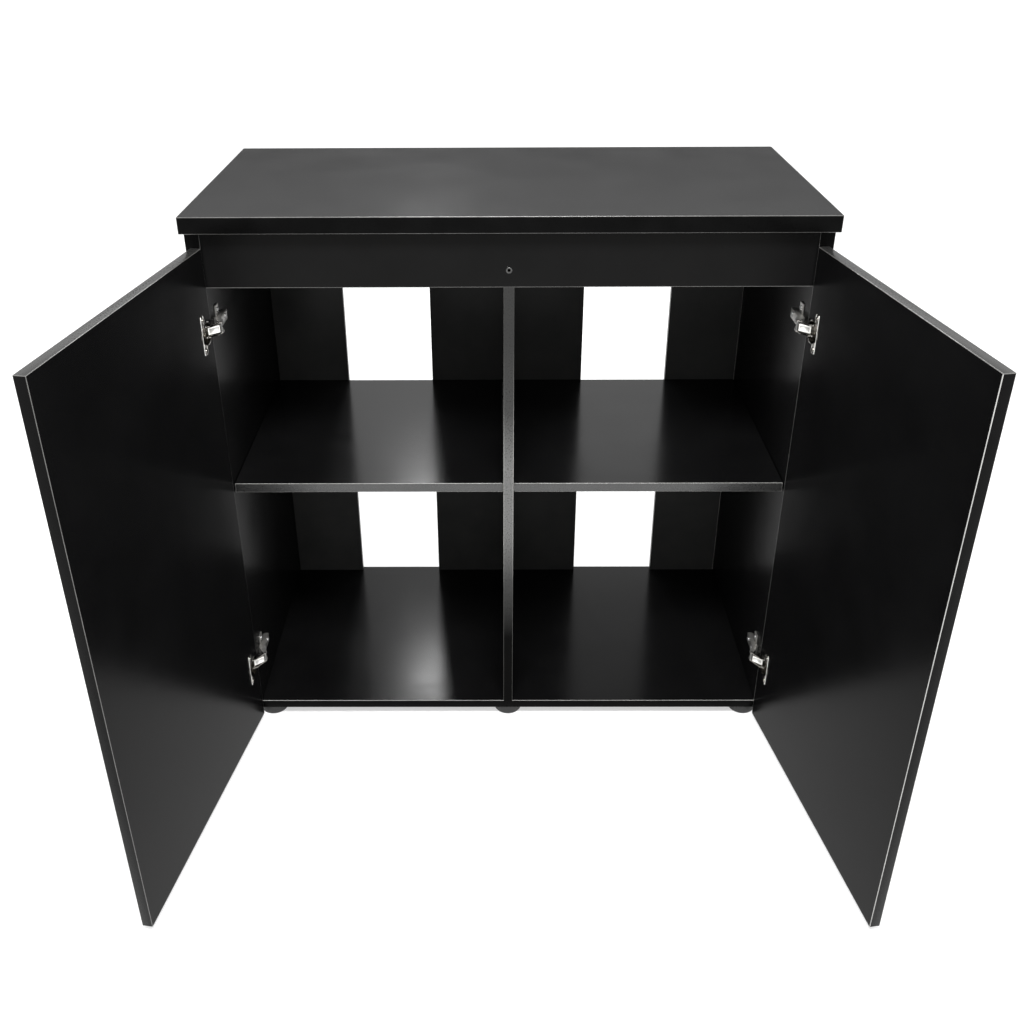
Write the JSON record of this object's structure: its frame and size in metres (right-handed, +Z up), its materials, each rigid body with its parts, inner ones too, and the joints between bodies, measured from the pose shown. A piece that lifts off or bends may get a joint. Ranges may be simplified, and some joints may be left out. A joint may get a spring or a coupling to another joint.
{
  "type": "aquarium cabinet",
  "caption": "Aquarium cabinet with an overhanging top, two doors standing open on cup hinges, a divider, shelves, open rear cut-outs and round feet.",
  "frame": {"origin": "centre of the top panel's upper face, on which the tank rests", "axes": "+Z up, square to the top panel; +X to the right seen from the front; the doors face -Y"},
  "size_m": [1.0844, 0.9183, 0.938],
  "materials": {
    "black_board": "satin black melamine",
    "black_band": "satin",
    "black_plastic": "satin",
    "nickel_steel": "nickel plated",
    "zinc_steel": "zinc plated",
    "dowel_wood": "plain"
  },
  "bodies": {
    "cabinet": {"top_panel": "black_board", "top_edge_band": "black_band", "left_side_panel": "black_board", "right_side_panel": "black_board", "bottom_panel": "black_board", "centre_divider": "black_board", "front_rail": "black_board", "left_back_board": "black_board", "centre_back_board": "black_board", "right_back_board": "black_board", "body_edge_bands": "black_band", "left_shelf": "black_board", "right_shelf": "black_board", "shelf_edge_bands": "black_band", "left_shelf_supports": "black_plastic", "right_shelf_supports": "black_plastic", "front_left_foot": "black_plastic", "front_centre_foot": "black_plastic", "front_right_foot": "black_plastic", "rear_left_foot": "black_plastic", "rear_centre_foot": "black_plastic", "rear_right_foot": "black_plastic", "foot_screws": "zinc_steel", "side_joining_screws": "zinc_steel", "divider_joining_screws": "zinc_steel", "rail_screw": "zinc_steel", "top_dowels": "dowel_wood", "rail_dowels": "dowel_wood", "back_dowels": "dowel_wood", "left_hinge_arms": "nickel_steel", "left_arm_pins": "zinc_steel", "left_arm_screws": "zinc_steel", "left_mounting_plates": "nickel_steel", "left_plate_screws": "zinc_steel", "right_hinge_arms": "nickel_steel", "right_arm_pins": "zinc_steel", "right_arm_screws": "zinc_steel", "right_mounting_plates": "nickel_steel", "right_plate_screws": "zinc_steel"},
    "left_wide_links": {"left_wide_links": "nickel_steel"},
    "left_side_links": {"left_side_links": "nickel_steel"},
    "left_door_leaf": {"left_door": "black_board", "left_door_edge_band": "black_band", "left_hinge_cups": "nickel_steel", "left_cup_screws": "nickel_steel", "left_cup_pins": "zinc_steel"},
    "right_wide_links": {"right_wide_links": "nickel_steel"},
    "right_side_links": {"right_side_links": "nickel_steel"},
    "right_door_leaf": {"right_door": "black_board", "right_door_edge_band": "black_band", "right_hinge_cups": "nickel_steel", "right_cup_screws": "nickel_steel", "right_cup_pins": "zinc_steel"}
  },
  "joints": [
    {"name": "left_door_swing", "type": "hinge", "parent": "left_wide_links", "child": "left_door_leaf", "pos_m": [-0.45394, -0.22579, -0.4895], "axis": [0, 0, -1], "range_deg": [-132.43, 7.74]},
    {"name": "left_wide_link_swing", "type": "hinge", "parent": "cabinet", "child": "left_wide_links", "pos_m": [-0.44501, -0.19893, -0.4895], "axis": [0, 0, -1], "range_deg": [-2.44, 33.73]},
    {"name": "left_side_link_swing", "type": "hinge", "parent": "cabinet", "child": "left_side_links", "pos_m": [-0.4375, -0.2103, -0.4895], "axis": [0, 0, -1], "range_deg": [-1.96, 25.5]},
    {"name": "right_door_swing", "type": "hinge", "parent": "right_wide_links", "child": "right_door_leaf", "pos_m": [0.45394, -0.22579, -0.4895], "axis": [0, 0, 1], "range_deg": [-132.43, 7.74]},
    {"name": "right_wide_link_swing", "type": "hinge", "parent": "cabinet", "child": "right_wide_links", "pos_m": [0.44501, -0.19893, -0.4895], "axis": [0, 0, 1], "range_deg": [-2.44, 33.73]},
    {"name": "right_side_link_swing", "type": "hinge", "parent": "cabinet", "child": "right_side_links", "pos_m": [0.4375, -0.2103, -0.4895], "axis": [0, 0, 1], "range_deg": [-1.96, 25.5]}
  ],
  "couplings": [
    {"joint": "left_wide_link_swing", "follows": "left_door_swing", "ratio": -0.25094},
    {"joint": "left_side_link_swing", "follows": "left_door_swing", "ratio": -0.18876},
    {"joint": "right_wide_link_swing", "follows": "right_door_swing", "ratio": -0.25094},
    {"joint": "right_side_link_swing", "follows": "right_door_swing", "ratio": -0.18876}
  ]
}
